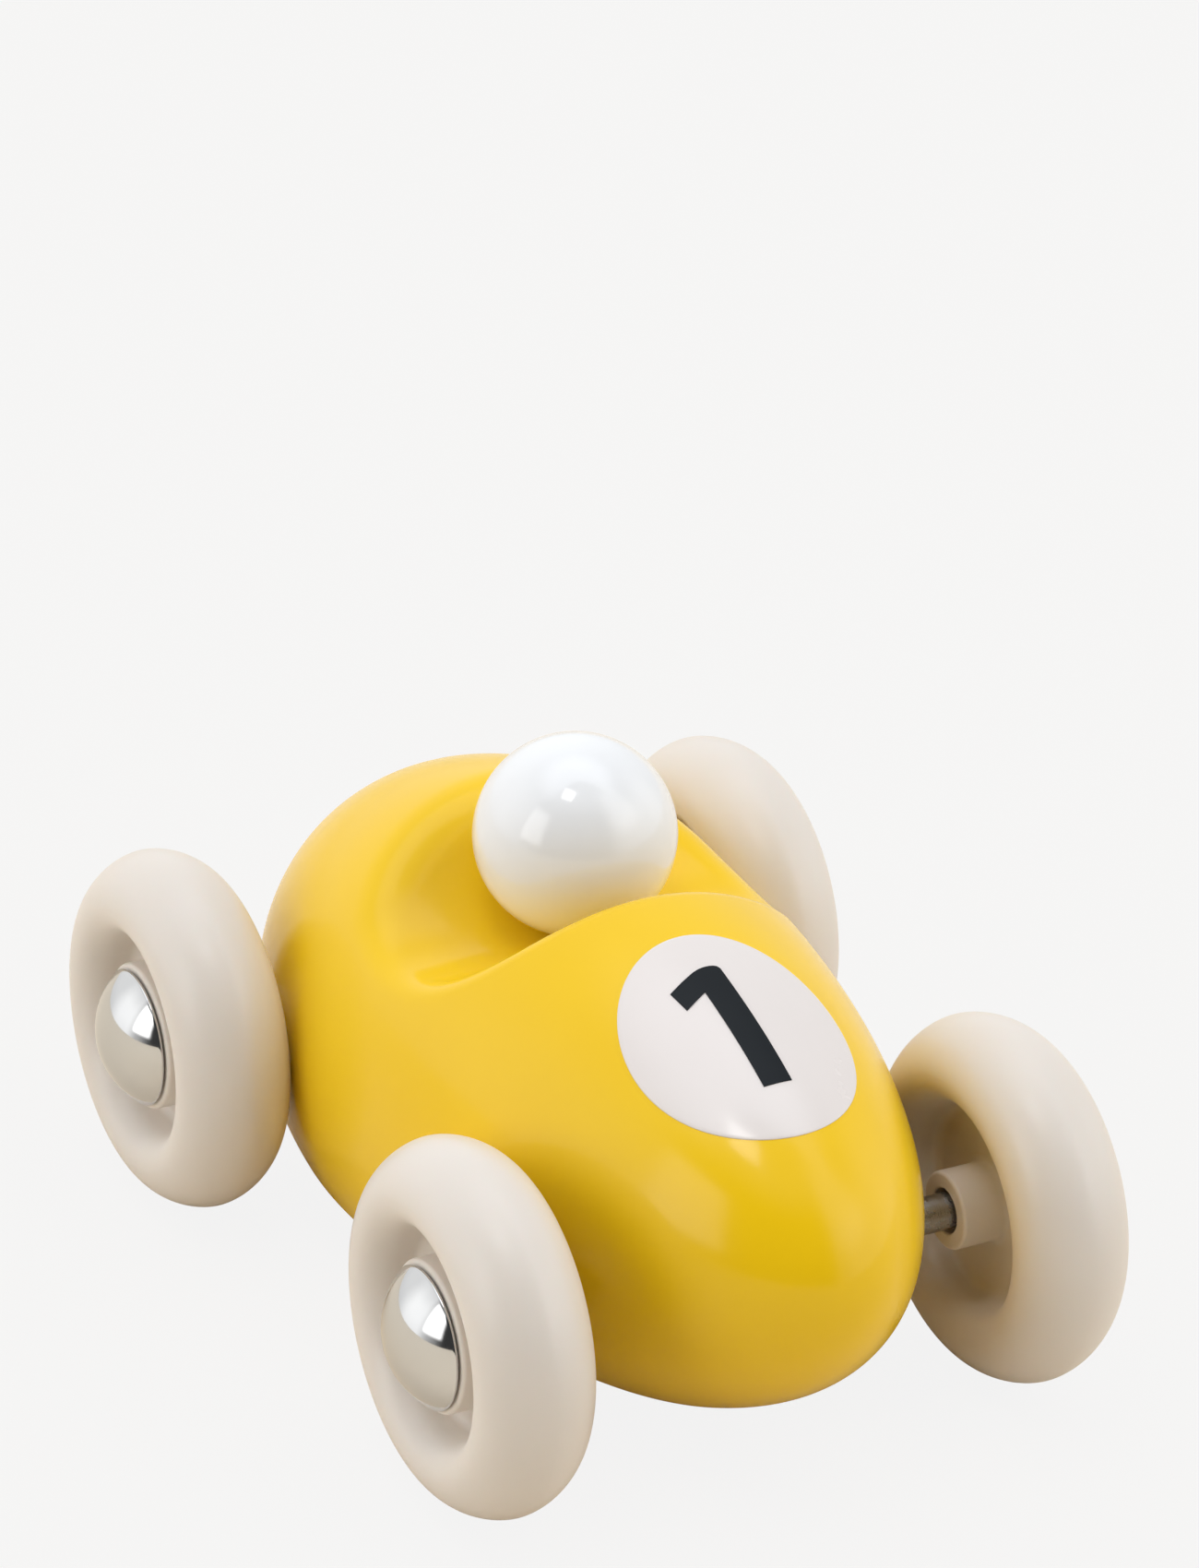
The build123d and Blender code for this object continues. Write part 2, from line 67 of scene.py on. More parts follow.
def asMesh(name, points, faces, sharpDegrees=35):
    # one mesh from all the points and faces at once; a negative volume turns every face round
    points = np.asarray(points, float)
    first = [np.array([f[k] for f in faces]) for k in range(3)]
    a, b, c = (points[k] for k in first)
    if np.einsum("ij,ij->", a, np.cross(b, c)) < 0:
        faces = [f[::-1] for f in faces]
    mesh = bpy.data.meshes.new(name)
    mesh.from_pydata(points.tolist(), [], faces)
    mesh.update()
    mesh.polygons.foreach_set("use_smooth", np.ones(len(mesh.polygons), bool))
    mesh.set_sharp_from_angle(angle=math.radians(sharpDegrees))
    piece = bpy.data.objects.new(name, mesh)
    bpy.context.scene.collection.objects.link(piece)
    return piece


def ringFaces(rows, columns, wrapRows):
    # quads between each ring and the next; the rings are closed, and the last may meet the first
    r = np.arange(rows if wrapRows else rows - 1)[:, None]
    c = np.arange(columns)[None, :]
    nextRow, nextColumn = (r + 1) % rows, (c + 1) % columns
    corners = [
        r * columns + c, nextRow * columns + c, nextRow * columns + nextColumn, r * columns + nextColumn,
    ]
    return np.stack(corners, -1).reshape(-1, 4).tolist()


def closedSkin(name, rings, sharpDegrees=35):
    # rings of points from one pole to the other, each end closed by a fan to its ring's middle
    rows, columns, _ = rings.shape
    points = np.concatenate([rings.reshape(-1, 3), rings[:1].mean(1), rings[-1:].mean(1)])
    c = np.arange(columns)
    start, end = rows * columns, rows * columns + 1
    startFan = np.stack([c * 0 + start, c, (c + 1) % columns], -1).tolist()
    last = (rows - 1) * columns
    endFan = np.stack([c * 0 + end, last + (c + 1) % columns, last + c], -1).tolist()
    return asMesh(name, points, ringFaces(rows, columns, False) + startFan + endFan, sharpDegrees)


def turned(name, profile, columns, centre, outward, closedProfile, sharpDegrees=35):
    # a profile of (along, radius) pairs turned about the X axis through centre:
    # x = centre + outward * along, y = radius * cos(turn), z = radius * sin(turn)
    turn = np.linspace(0, 2 * np.pi, columns, endpoint=False)
    along, radius = profile[:, 0, None], profile[:, 1, None]
    x = centre[0] + outward * along + 0 * turn
    y = centre[1] + radius * np.cos(turn)
    z = centre[2] + radius * np.sin(turn)
    rings = np.stack([x, y, z], -1)
    if closedProfile:
        faces = ringFaces(len(profile), columns, True)
        return asMesh(name, rings.reshape(-1, 3), faces, sharpDegrees)
    return closedSkin(name, rings, sharpDegrees)


def roundedPath(corners, radii, steps=7):
    # straight runs with a circular arc at each corner:
    # start + radius * (sin t * into + (1 - cos t) * side), for t from 0 to the corner's turn
    corners = np.asarray(corners, float)
    pieces = [corners[:1]]
    for k in range(1, len(corners) - 1):
        into = corners[k] - corners[k - 1]
        out = corners[k + 1] - corners[k]
        into, out = into / np.linalg.norm(into), out / np.linalg.norm(out)
        turn = math.acos(np.clip(into @ out, -1, 1))
        bend = np.sign(into[0] * out[1] - into[1] * out[0])
        if radii[k] <= 0 or turn < 1e-6:
            pieces.append(corners[k:k + 1])
            continue
        start = corners[k] - into * radii[k] * math.tan(turn / 2)
        t = np.linspace(0, turn, steps)[:, None]
        side = np.array([-into[1], into[0]]) * bend
        pieces.append(start + radii[k] * (np.sin(t) * into + (1 - np.cos(t)) * side))
    pieces.append(corners[-1:])
    return np.concatenate(pieces)


def roundQuarter(power, steps):
    # |a|^p + |b|^p = 1 from (0, 1) to (1, 0)
    t = np.linspace(0, np.pi / 2, steps)
    return np.sin(t) ** (2 / power), np.cos(t) ** (2 / power)


def finish(piece, material, body, node):
    # one finished piece: its material, the body it rides on and the CAD node it stands for
    if material is not None:
        piece.data.materials.append(material)
    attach(piece, body)
    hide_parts(node)
    return piece


# shader node groups, each used by several materials

def socketGroup(name, inputs, outputs):
    # an empty group with named float inputs and outputs
    tree = bpy.data.node_groups.new(name, "ShaderNodeTree")
    for label, value in inputs:
        socket = tree.interface.new_socket(name=label, in_out="INPUT", socket_type="NodeSocketFloat")
        socket.default_value = value
    for label in outputs:
        tree.interface.new_socket(name=label, in_out="OUTPUT", socket_type="NodeSocketFloat")
    return tree, tree.nodes.new("NodeGroupInput"), tree.nodes.new("NodeGroupOutput")


def addNode(tree, kind, settings=None, **sockets):
    # a node with its settings, its plain values and its links by socket name
    node = tree.nodes.new(kind)
    for key, value in (settings or {}).items():
        setattr(node, key, value)
    for key, value in sockets.items():
        socket = node.inputs[int(key[1:])] if key[0] == "n" and key[1:].isdigit() else node.inputs[key]
        if isinstance(value, bpy.types.NodeSocket):
            tree.links.new(value, socket)
        else:
            socket.default_value = value
    return node


def mathNode(tree, operation, first, second=0.0, clamp=False):
    settings = {"operation": operation, "use_clamp": clamp}
    return addNode(tree, "ShaderNodeMath", settings, n0=first, n1=second).outputs[0]


def noiseNode(tree, vector, scale, detail=2.0, roughness=0.5):
    return addNode(
        tree, "ShaderNodeTexNoise", Vector=vector, Scale=scale, Detail=detail, Roughness=roughness
    ).outputs["Fac"]


def remap(tree, value, low, high, toLow=0.0, toHigh=1.0):
    return addNode(
        tree, "ShaderNodeMapRange", n0=value, n1=low, n2=high, n3=toLow, n4=toHigh
    ).outputs[0]


def makePaintSkin():
    # brushed and rubbed-down lacquer: a soft orange peel over faint wood grain, with marks in its gloss
    tree, given, result = socketGroup(
        "paintSkin", [("Peel", 0.5), ("Grain", 0.3)], ["Height", "Tone", "Gloss"]
    )
    place = addNode(tree, "ShaderNodeTexCoord").outputs["Object"]
    peel = noiseNode(tree, place, 420.0, 1.5, 0.4)
    stretched = addNode(tree, "ShaderNodeMapping", Vector=place, Scale=(1.0, 0.07, 1.0)).outputs[0]
    grain = noiseNode(tree, stretched, 900.0, 3.0, 0.55)
    height = mathNode(
        tree, "ADD",
        mathNode(tree, "MULTIPLY", peel, given.outputs["Peel"]),
        mathNode(tree, "MULTIPLY", grain, given.outputs["Grain"]),
    )
    tone = remap(tree, noiseNode(tree, place, 34.0, 3.0, 0.5), 0.3, 0.7)
    marks = remap(tree, noiseNode(tree, place, 85.0, 5.0, 0.6), 0.42, 0.7)
    tree.links.new(height, result.inputs["Height"])
    tree.links.new(tone, result.inputs["Tone"])
    tree.links.new(marks, result.inputs["Gloss"])
    return tree


def makeMouldSkin():
    # moulded plastic: a fine spark texture, slow flow marks and a slightly uneven gloss
    tree, given, result = socketGroup(
        "mouldSkin", [("Texture", 0.5), ("Size", 1.0)], ["Height", "Tone", "Gloss"]
    )
    place = addNode(tree, "ShaderNodeTexCoord").outputs["Object"]
    scale = mathNode(tree, "MULTIPLY", given.outputs["Size"], 2600.0)
    spark = noiseNode(tree, place, scale, 2.0, 0.6)
    slow = noiseNode(tree, place, 160.0, 1.0, 0.4)
    height = mathNode(
        tree, "ADD", mathNode(tree, "MULTIPLY", spark, given.outputs["Texture"]), slow
    )
    tone = remap(tree, noiseNode(tree, place, 48.0, 2.5, 0.5), 0.3, 0.7)
    gloss = remap(tree, noiseNode(tree, place, 120.0, 4.0, 0.6), 0.35, 0.75)
    tree.links.new(height, result.inputs["Height"])
    tree.links.new(tone, result.inputs["Tone"])
    tree.links.new(gloss, result.inputs["Gloss"])
    return tree


def makeMetalSkin():
    # worked metal: fine turning lines round the X axis, and hairline marks in its gloss
    tree, given, result = socketGroup(
        "metalSkin", [("Lines", 0.5), ("Pitch", 1.0)], ["Height", "Tone", "Gloss"]
    )
    place = addNode(tree, "ShaderNodeTexCoord").outputs["Object"]
    scale = mathNode(tree, "MULTIPLY", given.outputs["Pitch"], 700.0)
    squeezed = addNode(tree, "ShaderNodeMapping", Vector=place, Scale=(9.0, 0.4, 0.4)).outputs[0]
    lines = noiseNode(tree, squeezed, scale, 3.0, 0.6)
    height = mathNode(tree, "MULTIPLY", lines, given.outputs["Lines"])
    tone = remap(tree, noiseNode(tree, place, 140.0, 3.0, 0.5), 0.3, 0.7)
    gloss = remap(tree, noiseNode(tree, place, 420.0, 5.0, 0.65), 0.4, 0.75)
    tree.links.new(height, result.inputs["Height"])
    tree.links.new(tone, result.inputs["Tone"])
    tree.links.new(gloss, result.inputs["Gloss"])
    return tree


paintSkin, mouldSkin, metalSkin = makePaintSkin(), makeMouldSkin(), makeMetalSkin()


def surfaceMaterial(name, look):
    # one Principled shader: two close tones, a gloss range and a small bump, all from the named skin group
    material = bpy.data.materials.new(name)
    material.use_nodes = True
    tree = material.node_tree
    shader = tree.nodes["Principled BSDF"]
    skin = addNode(tree, "ShaderNodeGroup", {"node_tree": look["skin"]})
    for key, value in look["skinValues"].items():
        skin.inputs[key].default_value = value
    blend = addNode(
        tree, "ShaderNodeMix", {"data_type": "RGBA"},
        n0=skin.outputs["Tone"], n6=(*look["colour"], 1.0), n7=(*look["otherColour"], 1.0),
    )
    tree.links.new(blend.outputs[2], shader.inputs["Base Color"])
    rough = remap(tree, skin.outputs["Gloss"], 0.0, 1.0, *look["roughness"])
    tree.links.new(rough, shader.inputs["Roughness"])
    bump = addNode(
        tree, "ShaderNodeBump",
        Strength=look["bump"], Distance=look["bumpDepth"], Height=skin.outputs["Height"],
    )
    tree.links.new(bump.outputs[0], shader.inputs["Normal"])
    for key, value in look.get("fixed", {}).items():
        shader.inputs[key].default_value = value
    return material


looks = {
    "bodyLacquer": {
        "skin": paintSkin, "skinValues": {"Peel": 0.6, "Grain": 0.25},
        "colour": (0.93, 0.60, 0.008), "otherColour": (0.90, 0.57, 0.006),
        "roughness": (0.16, 0.22), "bump": 0.12, "bumpDepth": 0.0002,
        "fixed": {"Coat Weight": 0.1, "Coat Roughness": 0.06, "Coat IOR": 1.5, "IOR": 1.36},
    },
    "headLacquer": {
        "skin": paintSkin, "skinValues": {"Peel": 0.5, "Grain": 0.05},
        "colour": (0.88, 0.89, 0.90), "otherColour": (0.86, 0.87, 0.885),
        "roughness": (0.12, 0.18), "bump": 0.06, "bumpDepth": 0.0002,
        "fixed": {"Coat Weight": 0.7, "Coat Roughness": 0.04, "Coat IOR": 1.5, "IOR": 1.48},
    },
    "roundelPrint": {
        "skin": paintSkin, "skinValues": {"Peel": 0.6, "Grain": 0.25},
        "colour": (0.80, 0.745, 0.715), "otherColour": (0.78, 0.72, 0.69),
        "roughness": (0.2, 0.28), "bump": 0.12, "bumpDepth": 0.0002,
        "fixed": {"Coat Weight": 0.4, "Coat Roughness": 0.1},
    },
    "digitPrint": {
        "skin": paintSkin, "skinValues": {"Peel": 0.6, "Grain": 0.25},
        "colour": (0.006, 0.009, 0.012), "otherColour": (0.010, 0.013, 0.016),
        "roughness": (0.3, 0.4), "bump": 0.12, "bumpDepth": 0.0002,
        "fixed": {"Coat Weight": 0.0, "Specular IOR Level": 0.12},
    },
    "bareBeech": {
        "skin": paintSkin, "skinValues": {"Peel": 0.1, "Grain": 1.0},
        "colour": (0.62, 0.43, 0.25), "otherColour": (0.50, 0.33, 0.18),
        "roughness": (0.6, 0.8), "bump": 0.5, "bumpDepth": 0.0003,
    },
    "wheelPlastic": {
        "skin": mouldSkin, "skinValues": {"Texture": 0.12, "Size": 1.0},
        "colour": (0.780, 0.718, 0.650), "otherColour": (0.760, 0.697, 0.628),
        "roughness": (0.3, 0.37), "bump": 0.10, "bumpDepth": 0.00012,
        "fixed": {"Subsurface Weight": 0.06, "Subsurface Scale": 0.003, "IOR": 1.5},
    },
    "capChrome": {
        "skin": metalSkin, "skinValues": {"Lines": 0.15, "Pitch": 1.0},
        "colour": (0.68, 0.68, 0.675), "otherColour": (0.65, 0.65, 0.65),
        "roughness": (0.05, 0.10), "bump": 0.05, "bumpDepth": 0.00005,
        "fixed": {"Metallic": 1.0},
    },
    "axleSteel": {
        "skin": metalSkin, "skinValues": {"Lines": 1.0, "Pitch": 1.4},
        "colour": (0.42, 0.43, 0.44), "otherColour": (0.36, 0.37, 0.38),
        "roughness": (0.22, 0.34), "bump": 0.35, "bumpDepth": 0.0001,
        "fixed": {"Metallic": 1.0},
    },
    "plateSteel": {
        "skin": metalSkin, "skinValues": {"Lines": 0.4, "Pitch": 0.6},
        "colour": (0.55, 0.55, 0.56), "otherColour": (0.48, 0.48, 0.50),
        "roughness": (0.28, 0.42), "bump": 0.25, "bumpDepth": 0.0001,
        "fixed": {"Metallic": 1.0},
    },
    "springSteel": {
        "skin": metalSkin, "skinValues": {"Lines": 0.5, "Pitch": 0.8},
        "colour": (0.17, 0.20, 0.27), "otherColour": (0.24, 0.22, 0.22),
        "roughness": (0.22, 0.36), "bump": 0.2, "bumpDepth": 0.0001,
        "fixed": {"Metallic": 1.0},
    },
    "screwSteel": {
        "skin": metalSkin, "skinValues": {"Lines": 0.8, "Pitch": 2.0},
        "colour": (0.50, 0.50, 0.52), "otherColour": (0.42, 0.43, 0.46),
        "roughness": (0.25, 0.4), "bump": 0.3, "bumpDepth": 0.0001,
        "fixed": {"Metallic": 1.0},
    },
    "coverPlastic": {
        "skin": mouldSkin, "skinValues": {"Texture": 1.0, "Size": 0.7},
        "colour": (0.012, 0.012, 0.014), "otherColour": (0.018, 0.018, 0.02),
        "roughness": (0.42, 0.55), "bump": 0.5, "bumpDepth": 0.0003,
    },
    "casePlastic": {
        "skin": mouldSkin, "skinValues": {"Texture": 0.8, "Size": 0.9},
        "colour": (0.035, 0.038, 0.045), "otherColour": (0.045, 0.048, 0.055),
        "roughness": (0.4, 0.52), "bump": 0.4, "bumpDepth": 0.0002,
    },
    "gearPlastic": {
        "skin": mouldSkin, "skinValues": {"Texture": 0.2, "Size": 1.0},
        "colour": (0.80, 0.79, 0.72), "otherColour": (0.76, 0.75, 0.68),
        "roughness": (0.3, 0.4), "bump": 0.15, "bumpDepth": 0.0001,
        "fixed": {"Subsurface Weight": 0.1, "Subsurface Scale": 0.002},
    },
}
materials = {name: surfaceMaterial(name, look) for name, look in looks.items()}
print("materials made:", len(materials))


# the egg that the body and its printing are cut from

egg = {
    "noseLength": 87.3 * mm, "tailLength": 53.7 * mm, "halfHeight": 37.2 * mm, "squeeze": 0.927,
    "riseDegrees": 5.4, "middleY": 16.7 * mm, "middleZ": 26.7 * mm,
}
riseCos = math.cos(math.radians(egg["riseDegrees"]))
riseSin = math.sin(math.radians(egg["riseDegrees"]))


def eggPoint(direction):
    # each direction on the unit ball is stretched by the egg's three half-sizes, longer to the nose,
    # and tipped: y = middle + along * cos + up * sin, z = middle - along * sin + up * cos
    reach = np.where(direction[..., 1] < 0, egg["noseLength"], egg["tailLength"])
    tall = egg["halfHeight"]
    along, up = reach * direction[..., 1], tall * direction[..., 2]
    x = egg["squeeze"] * tall * direction[..., 0]
    y = egg["middleY"] + along * riseCos + up * riseSin
    z = egg["middleZ"] - along * riseSin + up * riseCos
    return np.stack([x, y, z], -1)


def eggDirection(y, z, side):
    # the direction whose egg point has this y and z, on the given side:
    # its x part is what is left of the unit length, sqrt(1 - ny^2 - nz^2)
    along = (y - egg["middleY"]) * riseCos - (z - egg["middleZ"]) * riseSin
    up = (y - egg["middleY"]) * riseSin + (z - egg["middleZ"]) * riseCos
    ny = along / np.where(along < 0, egg["noseLength"], egg["tailLength"])
    nz = up / egg["halfHeight"]
    nx = side * np.sqrt(np.clip(1 - ny**2 - nz**2, 0, None))
    return np.stack([nx, ny, nz], -1)


def insideSpan(y, z):
    # the first and last positions along a line of (y, z) points that lie inside the egg
    direction = eggDirection(y, z, 1.0)
    inside = np.nonzero(direction[:, 1] ** 2 + direction[:, 2] ** 2 < 1)[0]
    return inside[0], inside[-1]


# the wooden body: one skin from the cockpit's floor, over the rim, round the egg, under it,
# and into the motor pocket

bodyShape = {
    "columns": 320, "channelRows": 44, "rimRows": 12, "flankRows": 96, "undersideRows": 10, "pocketRows": 10,
    "cockpitRadius": 18.6 * mm, "cockpitY": 6.9 * mm, "cockpitZ": 67.7 * mm,
    "frontRimSoftness": 1.3 * mm, "rearRimSoftness": 6.0 * mm,
    "undersideZ": 7.0 * mm, "undersideSoftness": 1.0 * mm,
    "recessClearance": 0.15 * mm, "recessCorner": 5.0 * mm,
    "pocketHalfWidth": 8.9 * mm, "pocketHalfLength": 17.1 * mm, "pocketMiddleY": 34.9 * mm,
    "pocketTopZ": 45.5 * mm, "pocketCorner": 1.0 * mm,
    "frontBore": 2.55 * mm, "rearHole": 3.5 * mm, "drillHalfLength": 60 * mm,
}


def roundedBox(halfWidth, halfLength, corner, middleY, z, turn):
    # a rounded rectangle's outline: from its middle each ray steps on by its distance to the outline
    ray = np.stack([np.sin(turn), -np.cos(turn)], -1)
    reach = np.zeros_like(turn)
    for _ in range(60):
        away = np.abs(ray * reach[:, None]) - np.array([halfWidth - corner, halfLength - corner])
        outside = np.linalg.norm(np.clip(away, 0, None), axis=-1)
        reach = reach - (outside + np.minimum(away.max(-1), 0) - corner)
    flat = ray * reach[:, None]
    return np.stack([flat[:, 0], middleY + flat[:, 1], np.full_like(turn, z)], -1)


def bentJoin(before, beforeSlope, after, afterSlope, steps):
    # a cubic between two points that leaves and arrives along the given slopes
    t = np.linspace(0, 1, steps + 2)[1:-1, None, None]
    return (
        (2 * t**3 - 3 * t**2 + 1) * before + (t**3 - 2 * t**2 + t) * beforeSlope
        + (3 * t**2 - 2 * t**3) * after + (t**3 - t**2) * afterSlope
    )


def pathLength(path):
    return np.linalg.norm(np.diff(path(np.linspace(0, 1, 60)), axis=0), axis=-1).sum(0)


def makeBody(shape):
    turn = np.linspace(0, 2 * np.pi, shape["columns"], endpoint=False)
    side = np.where(np.sin(turn) >= 0, 1.0, -1.0)
    share = (1 - np.cos(turn)) / 2                      # 0 at the nose end of each loop, 1 at its tail end
    radius = shape["cockpitRadius"]

    # where the cockpit's channel leaves the egg, as angles round the channel
    angles = np.linspace(-1.5, 1.5, 20001)
    spanY = shape["cockpitY"] + radius * np.sin(angles)
    spanZ = shape["cockpitZ"] - radius * np.cos(angles)
    first, last = insideSpan(spanY, spanZ)
    rimAngle = angles[first] + (angles[last] - angles[first]) * share
    middleAngle = (angles[first] + angles[last]) / 2
    rimY = shape["cockpitY"] + radius * np.sin(rimAngle)
    rimZ = shape["cockpitZ"] - radius * np.cos(rimAngle)
    rimDirection = eggDirection(rimY, rimZ, side)
    rim = eggPoint(rimDirection)

    # where the planed underside leaves it
    lineY = np.linspace(-90 * mm, 90 * mm, 20001)
    first, last = insideSpan(lineY, np.full_like(lineY, shape["undersideZ"]))
    edgeY = lineY[first] + (lineY[last] - lineY[first]) * share
    edgeDirection = eggDirection(edgeY, np.full_like(edgeY, shape["undersideZ"]), side)
    edge = eggPoint(edgeDirection)
    gap = np.arccos(np.clip((rimDirection * edgeDirection).sum(-1), -1, 1))

    low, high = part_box("motor_cover")
    clear = shape["recessClearance"]
    halfWidth, halfLength = (high.x - low.x) / 2 + clear, (high.y - low.y) / 2 + clear
    coverY = (high.y + low.y) / 2
    bottomZ, shelfZ = shape["undersideZ"], high.z
    mouth = roundedBox(halfWidth, halfLength, shape["recessCorner"], coverY, bottomZ, turn)
    shelfOuter = roundedBox(halfWidth, halfLength, shape["recessCorner"], coverY, shelfZ, turn)
    pocket = [shape[k] for k in ("pocketHalfWidth", "pocketHalfLength", "pocketCorner", "pocketMiddleY")]
    shelfInner = roundedBox(*pocket, shelfZ, turn)
    ceiling = roundedBox(*pocket, shape["pocketTopZ"], turn)

    def channel(s):
        # the channel's floor: angle and width both shrink in proportion from the rim to the middle
        s = np.asarray(s, float)[:, None] if np.ndim(s) == 1 else s
        angle = rimAngle + (middleAngle - rimAngle) * s
        x = rim[:, 0] * (1 - s)
        y, z = shape["cockpitY"] + radius * np.sin(angle), shape["cockpitZ"] - radius * np.cos(angle)
        return np.stack(np.broadcast_arrays(x, y, z), -1)

    def flank(s):
        # the egg between rim and underside: directions turn evenly from one to the other
        s = np.asarray(s, float)[:, None] if np.ndim(s) == 1 else s
        rimPart = (np.sin((1 - s) * gap) / np.sin(gap))[..., None] * rimDirection
        edgePart = (np.sin(s * gap) / np.sin(gap))[..., None] * edgeDirection
        return eggPoint(rimPart + edgePart)

    def underside(s):
        s = np.asarray(s, float)[:, None, None] if np.ndim(s) == 1 else np.asarray(s)[..., None]
        return edge + (mouth - edge) * s

    def slope(path, s, way):
        # a path's direction at s, as a unit vector, pointing the way that s grows or shrinks
        step = 1e-4
        d = (path(s + step / 2) - path(s - step / 2)) * way
        return d / np.linalg.norm(d, axis=-1, keepdims=True)

    soft = shape["frontRimSoftness"] + (shape["rearRimSoftness"] - shape["frontRimSoftness"]) * share**1.5
    soft = soft[None, :]
    channelCut = soft / pathLength(channel)
    flankCut = soft / pathLength(flank)
    hard = shape["undersideSoftness"]
    flankEnd = 1 - hard / pathLength(flank)[None, :]
    undersideCut = hard / pathLength(underside)[None, :]

    def spaced(start, end, steps):
        return start + (end - start) * np.linspace(0, 1, steps)[:, None]

    rows = [channel(spaced(0.97, channelCut, shape["channelRows"]))]
    rows.append(bentJoin(
        channel(channelCut), 2 * soft[..., None] * slope(channel, channelCut, -1),
        flank(flankCut), 2 * soft[..., None] * slope(flank, flankCut, 1), shape["rimRows"],
    ))
    rows.append(flank(spaced(flankCut, flankEnd, shape["flankRows"])))
    rows.append(bentJoin(
        flank(flankEnd), 2 * hard * slope(flank, flankEnd, 1),
        underside(undersideCut), 2 * hard * slope(underside, undersideCut, 1), 5,
    ))
    rows.append(underside(spaced(undersideCut, np.ones_like(undersideCut), shape["undersideRows"])))
    lacquered = sum(len(r) for r in rows)
    rows.append(shelfOuter[None])
    rows.append(shelfInner[None])
    down = np.linspace(0.1, 1, shape["pocketRows"])[:, None, None]
    rows.append(shelfInner + (ceiling - shelfInner) * down)
    middle = np.array([0.0, shape["pocketMiddleY"], shape["pocketTopZ"]])
    rows.append(ceiling[None] + (middle - ceiling[None]) * np.array([0.5, 0.95])[:, None, None])
    rings = np.concatenate(rows)
    piece = closedSkin("woodenBody", rings)
    columns = shape["columns"]
    inside = np.zeros(len(piece.data.polygons), np.int32)
    inside[lacquered * columns:(len(rings) - 1) * columns] = 1
    inside[-columns:] = 1
    piece.data.materials.append(materials["bodyLacquer"])
    piece.data.materials.append(materials["bareBeech"])
    piece.data.polygons.foreach_set("material_index", inside)
    return piece


def drillAcross(piece, centre, radius, halfLength):
    # cuts a round hole along X and applies the cut at once
    profile = np.array([[-halfLength, radius], [halfLength, radius]])
    cutter = turned("drill", profile, 96, centre, 1.0, False)
    cut = piece.modifiers.new("hole", "BOOLEAN")
    cut.operation, cut.solver, cut.object = "DIFFERENCE", "EXACT", cutter
    bpy.context.view_layer.update()
    drilled = bpy.data.meshes.new_from_object(piece.evaluated_get(bpy.context.evaluated_depsgraph_get()))
    piece.modifiers.clear()
    piece.data = drilled
    piece.data.set_sharp_from_angle(angle=math.radians(35))
    bpy.data.objects.remove(cutter)


def nodeMiddle(node):
    low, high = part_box(node)
    return np.array((low + high) / 2)


body = makeBody(bodyShape)
frontAxle, rearAxle = nodeMiddle("front_axle"), nodeMiddle("rear_axle")
drillAcross(body, frontAxle, bodyShape["frontBore"], bodyShape["drillHalfLength"])
drillAcross(body, rearAxle, bodyShape["rearHole"], bodyShape["drillHalfLength"])
finish(body, None, "car_body", "wooden_body")
print("wooden body:", len(body.data.polygons), "faces")


# the driver's head: a ball with its dowel hole

headShape = {"radius": 13.75 * mm, "columns": 160, "rows": 96, "boreRadius": 3.0 * mm}


def makeHead(shape):
    low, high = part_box("driver_head")
    centre = np.array([(low.x + high.x) / 2, (low.y + high.y) / 2, high.z - shape["radius"]])
    # latitude runs from the crown to where the bore begins, then straight up the bore
    last = math.pi - math.asin(shape["boreRadius"] / shape["radius"])
    latitude = np.linspace(0.012, last, shape["rows"])
    ring = shape["radius"] * np.sin(latitude)
    height = shape["radius"] * np.cos(latitude)
    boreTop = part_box("head_dowel")[1].z - centre[2]
    boreHeights = np.linspace(height[-1], boreTop, 6)[1:]
    ring = np.concatenate([ring, np.full(5, shape["boreRadius"])])
    height = np.concatenate([height, boreHeights])
    turn = np.linspace(0, 2 * np.pi, shape["columns"], endpoint=False)
    x = centre[0] + ring[:, None] * np.cos(turn)
    y = centre[1] + ring[:, None] * np.sin(turn)
    z = centre[2] + height[:, None] + 0 * turn
    return closedSkin("driverHead", np.stack([x, y, z], -1))


finish(makeHead(headShape), materials["headLacquer"], "car_body", "driver_head")


# the printed number: layers that follow the hood

printShape = {
    "slopeDegrees": 16.0, "middleY": -40.5 * mm, "middleZ": 54.6 * mm, "layer": 0.15 * mm,
    "halfWidth": 14.87 * mm, "halfLength": 18.15 * mm, "middle": (-0.5 * mm, 2.1 * mm),
}


